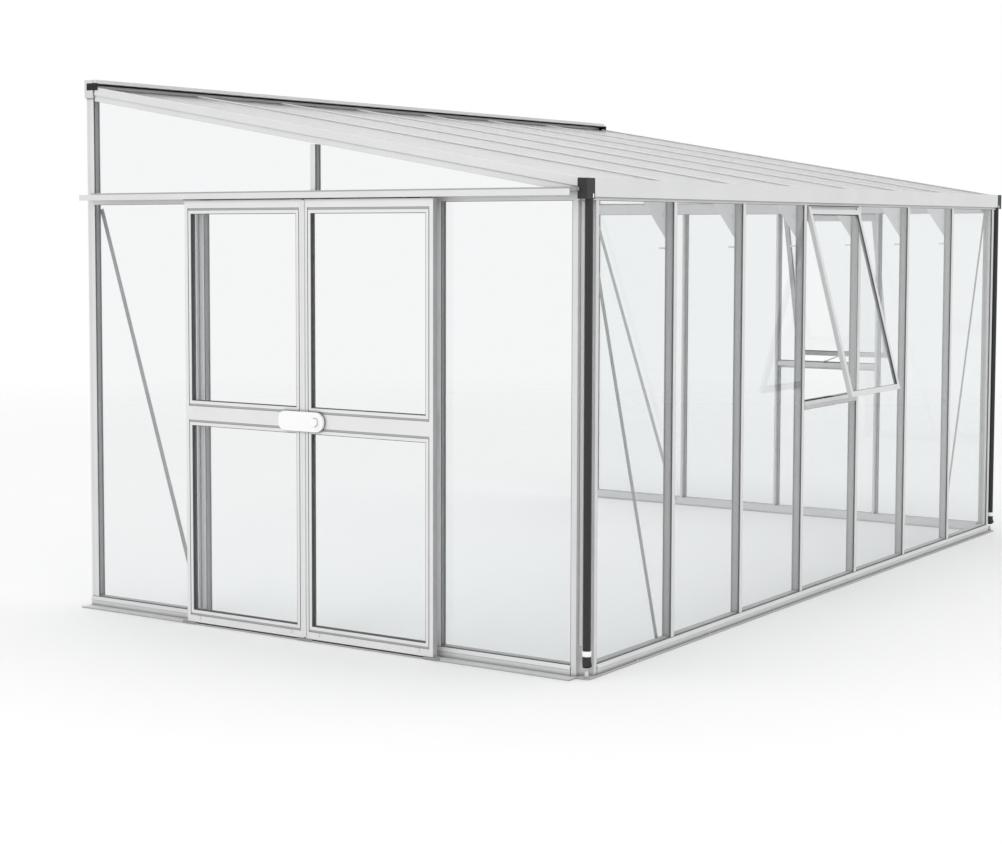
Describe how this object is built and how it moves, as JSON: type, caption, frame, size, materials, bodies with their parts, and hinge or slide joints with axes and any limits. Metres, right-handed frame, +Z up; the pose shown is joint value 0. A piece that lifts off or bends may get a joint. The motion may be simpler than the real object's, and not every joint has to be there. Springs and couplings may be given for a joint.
{
  "type": "lean-to greenhouse",
  "caption": "Lean-to greenhouse with an aluminium frame, glass walls and roof, paired sliding doors in one end, and a top-hung vent in the long wall and in the far end.",
  "frame": {"origin": "middle of the bounding box, on the ground", "axes": "+X along the eave from the door gable to the far gable, +Y towards the house wall, +Z up"},
  "size_m": [4.888, 2.8632, 2.399],
  "materials": {
    "frame_aluminium": "mill finish, satin",
    "clear_glass": "clear",
    "black_plastic": "matte black",
    "white_plastic": "satin white"
  },
  "bodies": {
    "frame": {"base_rail_door_end": "frame_aluminium", "base_rail_eave": "frame_aluminium", "base_rail_far_end": "frame_aluminium", "brace_door_end": "frame_aluminium", "brace_eave_door_end": "frame_aluminium", "brace_eave_far_end": "frame_aluminium", "brace_far_end": "frame_aluminium", "corner_post_door_end": "frame_aluminium", "corner_post_far_end": "frame_aluminium", "door_end_glass_corner_side": "clear_glass", "door_end_glass_wall_side": "clear_glass", "door_end_upper_glass": "clear_glass", "door_header_rail": "frame_aluminium", "door_jamb_corner_side": "frame_aluminium", "door_jamb_wall_side": "frame_aluminium", "downpipe_door_end": "black_plastic", "downpipe_far_end": "black_plastic", "eave_glass_below_vent": "clear_glass", "eave_glass_door_end": "clear_glass", "eave_glass_far_end": "clear_glass", "eave_post_1": "frame_aluminium", "eave_post_2": "frame_aluminium", "eave_post_3": "frame_aluminium", "eave_post_4": "frame_aluminium", "eave_post_5": "frame_aluminium", "eave_post_6": "frame_aluminium", "eave_vent_frame": "frame_aluminium", "eave_vent_glass": "clear_glass", "eave_vent_sill": "frame_aluminium", "end_rafter_door_end": "frame_aluminium", "end_rafter_far_end": "frame_aluminium", "far_end_header": "frame_aluminium", "far_end_post_1": "frame_aluminium", "far_end_post_2": "frame_aluminium", "far_end_post_3": "frame_aluminium", "far_end_upper_glass": "clear_glass", "far_glass_below_vent": "clear_glass", "far_glass_corner_side": "clear_glass", "far_glass_wall_side": "clear_glass", "far_vent_frame": "frame_aluminium", "far_vent_glass": "clear_glass", "far_vent_sill": "frame_aluminium", "gutter": "frame_aluminium", "roof_bar_1": "frame_aluminium", "roof_bar_2": "frame_aluminium", "roof_bar_3": "frame_aluminium", "roof_bar_4": "frame_aluminium", "roof_bar_5": "frame_aluminium", "roof_bar_6": "frame_aluminium", "roof_glass": "clear_glass", "wall_plate": "frame_aluminium", "wall_post_door_end": "frame_aluminium", "wall_post_far_end": "frame_aluminium"},
    "wall_side_leaf": {"wall_side_leaf_frame": "frame_aluminium", "wall_side_leaf_lower_glass": "clear_glass", "wall_side_leaf_upper_glass": "clear_glass"},
    "corner_side_leaf": {"corner_side_leaf_frame": "frame_aluminium", "corner_side_leaf_lower_glass": "clear_glass", "corner_side_leaf_upper_glass": "clear_glass"},
    "latch": {"door_latch": "white_plastic"}
  },
  "joints": [
    {"name": "wall_side_leaf_slide", "type": "slide", "parent": "frame", "child": "wall_side_leaf", "axis": [0, 1, 0], "range_m": [0, 0.6]},
    {"name": "corner_side_leaf_slide", "type": "slide", "parent": "frame", "child": "corner_side_leaf", "axis": [0, -1, 0], "range_m": [0, 0.6]},
    {"name": "latch_turn", "type": "hinge", "parent": "corner_side_leaf", "child": "latch", "pos_m": [-2.42, 0.0576, 0.928], "axis": [1, 0, 0], "range_deg": [0, 90]}
  ]
}
